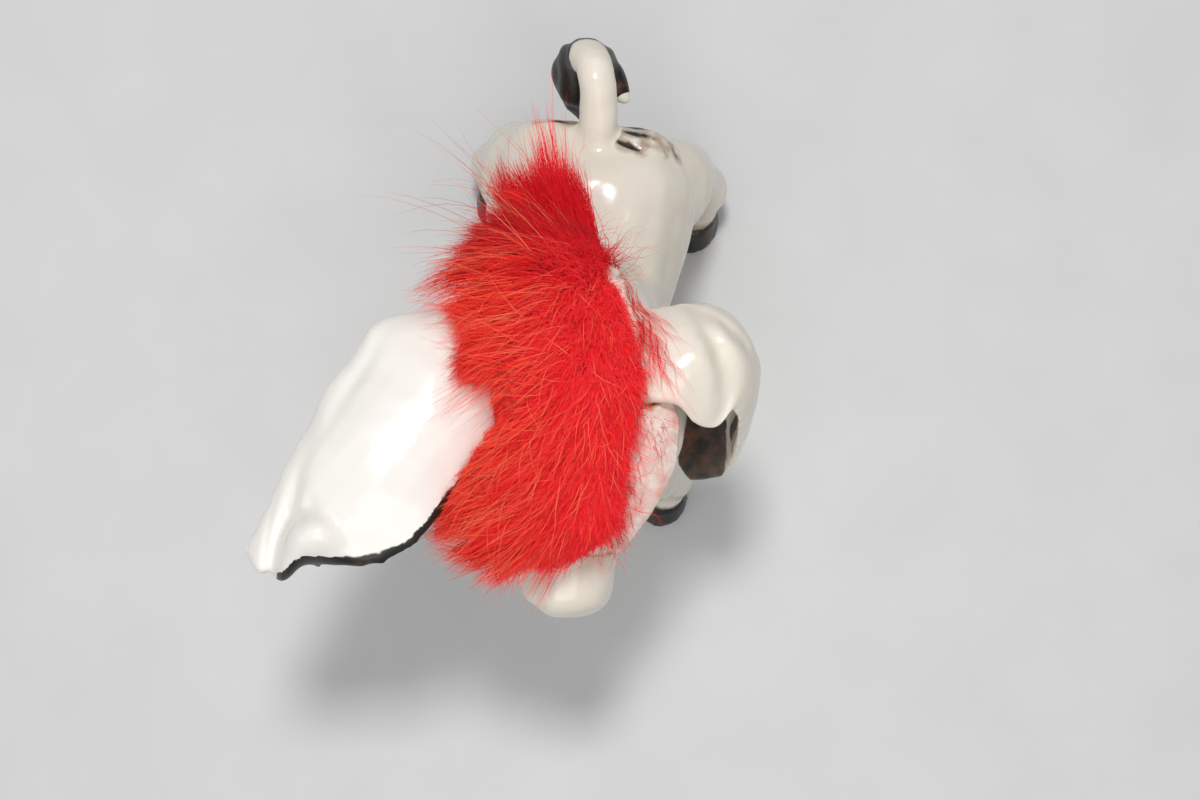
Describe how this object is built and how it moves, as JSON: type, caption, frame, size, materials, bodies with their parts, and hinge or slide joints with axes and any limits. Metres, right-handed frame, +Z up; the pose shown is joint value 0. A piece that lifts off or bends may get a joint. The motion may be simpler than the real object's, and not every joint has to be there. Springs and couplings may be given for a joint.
{
  "type": "donkey figurine",
  "caption": "Standing donkey ornament in cream glazed ceramic with splayed legs, a level ear, a flopped ear, an arched tail and a red fur mane glued over the head and neck.",
  "frame": {"origin": "on the floor under the middle of the figurine's bounding box", "axes": "+Z up, the donkey faces -Y, and its own left side is towards +X"},
  "size_m": [0.1202, 0.1572, 0.1481],
  "materials": {
    "body_glaze": "gloss",
    "ear_glaze": "gloss",
    "leg_glaze": "gloss",
    "tail_glaze": "gloss",
    "mane_glue": "satin",
    "mane_leather": "matte",
    "mane_fur": "matte"
  },
  "bodies": {
    "root": {"torso_shell": "body_glaze", "head_shell": "body_glaze", "right_ear": "ear_glaze", "left_ear": "ear_glaze", "front_left_leg": "leg_glaze", "front_right_leg": "leg_glaze", "hind_left_leg": "leg_glaze", "hind_right_leg": "leg_glaze", "tail": "tail_glaze", "mane_glue": "mane_glue", "mane_hide": "mane_leather", "mane_pile": "mane_fur"}
  },
  "joints": []
}
